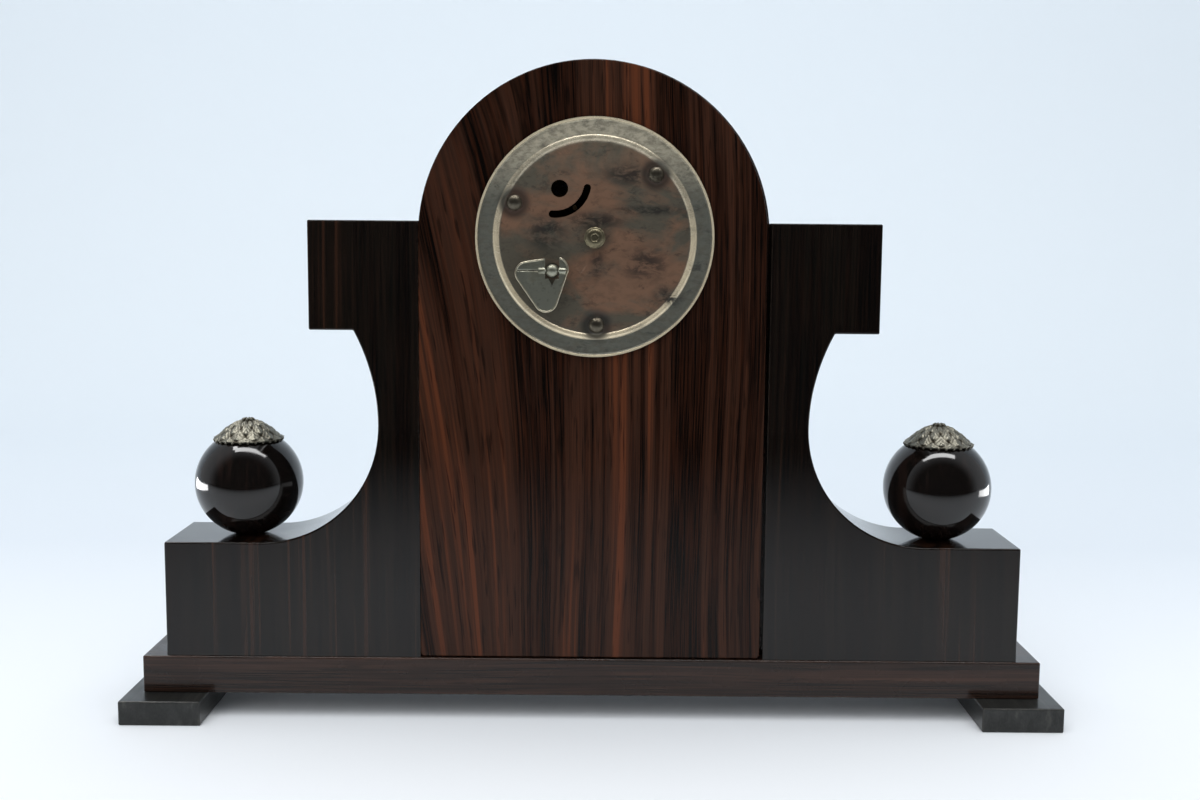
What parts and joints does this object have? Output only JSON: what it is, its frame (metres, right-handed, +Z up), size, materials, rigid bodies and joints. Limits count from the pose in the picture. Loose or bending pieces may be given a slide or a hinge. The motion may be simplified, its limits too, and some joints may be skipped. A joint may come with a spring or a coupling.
{
  "type": "mantel clock",
  "caption": "Wooden mantel clock with an arched centre, stepped coved wings, a capped ball on each shoulder, a plinth on feet and a spring-driven movement wound by a folding key at the back.",
  "frame": {"origin": "on the ground under the middle of the feet", "axes": "+X along the clock to the viewer's right from the dial side, -Y towards the dial side, +Z up"},
  "size_m": [0.4, 0.0764, 0.28],
  "materials": {
    "feet_wood": "ebonised, satin",
    "plinth_wood": "dark stained veneer, satin lacquer",
    "wing_wood": "black-brown lacquer",
    "panel_wood": "striped dark red-brown veneer, gloss lacquer",
    "ball_lacquer": "black-brown high-gloss lacquer",
    "inner_wood": "plain, unfinished",
    "silvered_cap": "stamped and silvered, worn",
    "cover_metal": "plated, aged with copper-brown blotches",
    "nickel": "nickel plated, worn",
    "key_steel": "stamped steel, dull",
    "knob_brass": "turned and knurled, worn",
    "brass": "bright",
    "steel": "plain steel",
    "blued_steel": "blued",
    "dial_silver": "silvered, matt",
    "glass": "clear, convex"
  },
  "bodies": {
    "case": {"foot_left": "feet_wood", "foot_right": "feet_wood", "plinth": "plinth_wood", "wing_left": "wing_wood", "wing_right": "wing_wood", "centre_front_board": "panel_wood", "centre_back_board": "panel_wood", "centre_hoop": "panel_wood", "ball_left": "ball_lacquer", "ball_right": "ball_lacquer", "ball_dowels": "inner_wood", "centre_sill": "inner_wood", "ball_cap_left": "silvered_cap", "ball_cap_right": "silvered_cap", "cap_pins": "silvered_cap", "rear_cover": "cover_metal", "rear_cover_screws": "nickel", "bezel": "nickel", "movement_can": "nickel", "back_plate": "brass", "front_plate": "brass", "cover_posts": "brass", "pillars": "brass", "balance_cock": "brass", "dial_feet": "brass", "foot_screws": "steel", "plinth_screws": "steel", "hoop_screws": "steel", "plate_screws": "steel", "click_screw": "steel", "click_spring": "steel", "cock_screw": "steel", "minute_wheel_stud": "steel", "bezel_pins": "steel", "hairspring": "blued_steel", "dial": "dial_silver", "bezel_glass": "glass"},
    "barrel": {"barrel": "brass", "barrel_cap": "brass", "mainspring": "blued_steel"},
    "winding": {"winding_arbor": "key_steel", "ratchet_wheel": "steel"},
    "folding_key": {"winding_key": "key_steel", "key_pin": "key_steel"},
    "click": {"click": "steel"},
    "centre_wheel": {"centre_wheel": "brass"},
    "third_wheel": {"third_wheel": "brass"},
    "fourth_wheel": {"fourth_wheel": "brass"},
    "escape_wheel": {"escape_wheel": "brass"},
    "pallet_lever": {"pallet_lever": "steel"},
    "balance": {"balance_wheel": "brass"},
    "hand_setting": {"centre_arbor": "steel", "hand_set_knob": "knob_brass", "cannon_pinion": "brass", "minute_hand": "blued_steel", "hand_nut": "brass"},
    "minute_wheel": {"minute_wheel": "brass"},
    "hour": {"hour_wheel": "brass", "hour_hand": "blued_steel"},
    "regulator": {"regulator_lever": "steel"}
  },
  "joints": [
    {"name": "hand_set_turn", "type": "hinge", "parent": "case", "child": "hand_setting", "pos_m": [0, 0, 0.2065], "axis": [0, -1, 0], "continuous": true},
    {"name": "minute_wheel_turn", "type": "hinge", "parent": "case", "child": "minute_wheel", "pos_m": [-0.00906, 0, 0.20227], "axis": [0, -1, 0], "continuous": true},
    {"name": "hour_turn", "type": "hinge", "parent": "case", "child": "hour", "pos_m": [0, 0, 0.2065], "axis": [0, -1, 0], "continuous": true},
    {"name": "fourth_turn", "type": "hinge", "parent": "case", "child": "fourth_wheel", "pos_m": [-0.00781, 0, 0.2266], "axis": [0, -1, 0], "continuous": true},
    {"name": "third_turn", "type": "hinge", "parent": "case", "child": "third_wheel", "pos_m": [-0.01142, 0, 0.21527], "axis": [0, -1, 0], "continuous": true},
    {"name": "centre_turn", "type": "hinge", "parent": "case", "child": "centre_wheel", "pos_m": [0, 0, 0.2065], "axis": [0, -1, 0], "continuous": true},
    {"name": "barrel_turn", "type": "hinge", "parent": "case", "child": "barrel", "pos_m": [0.01741, 0, 0.1929], "axis": [0, -1, 0], "continuous": true},
    {"name": "escape_turn", "type": "hinge", "parent": "case", "child": "escape_wheel", "pos_m": [0.0005, 0, 0.232], "axis": [0, -1, 0], "continuous": true},
    {"name": "lever_rock", "type": "hinge", "parent": "case", "child": "pallet_lever", "pos_m": [0.00519, 0, 0.2275], "axis": [0, -1, 0], "range_deg": [-4, 4]},
    {"name": "balance_swing", "type": "hinge", "parent": "case", "child": "balance", "pos_m": [0.01649, 0, 0.22959], "axis": [0, -1, 0], "range_deg": [-135, 135], "stiffness_Nm_per_rad": 0.00003},
    {"name": "regulator_shift", "type": "hinge", "parent": "case", "child": "regulator", "pos_m": [0.01649, 0, 0.22959], "axis": [0, -1, 0], "range_deg": [-25, 25]},
    {"name": "winding_turn", "type": "hinge", "parent": "case", "child": "winding", "pos_m": [0.01741, 0, 0.1929], "axis": [0, -1, 0], "continuous": true},
    {"name": "key_fold", "type": "hinge", "parent": "winding", "child": "folding_key", "pos_m": [0.01741, 0.0334, 0.1929], "axis": [1, 0, 0], "range_deg": [0, 90]},
    {"name": "click_rock", "type": "hinge", "parent": "case", "child": "click", "pos_m": [0.01741, 0, 0.1819], "axis": [0, -1, 0], "range_deg": [0, 7], "stiffness_Nm_per_rad": 0.002}
  ],
  "couplings": [
    {"joint": "minute_wheel_turn", "follows": "hand_set_turn", "ratio": -0.33333},
    {"joint": "hour_turn", "follows": "hand_set_turn", "ratio": 0.083333},
    {"joint": "third_turn", "follows": "fourth_turn", "ratio": -0.13333},
    {"joint": "centre_turn", "follows": "fourth_turn", "ratio": 0.016667},
    {"joint": "barrel_turn", "follows": "fourth_turn", "ratio": -0.0027778},
    {"joint": "escape_turn", "follows": "fourth_turn", "ratio": -10}
  ]
}
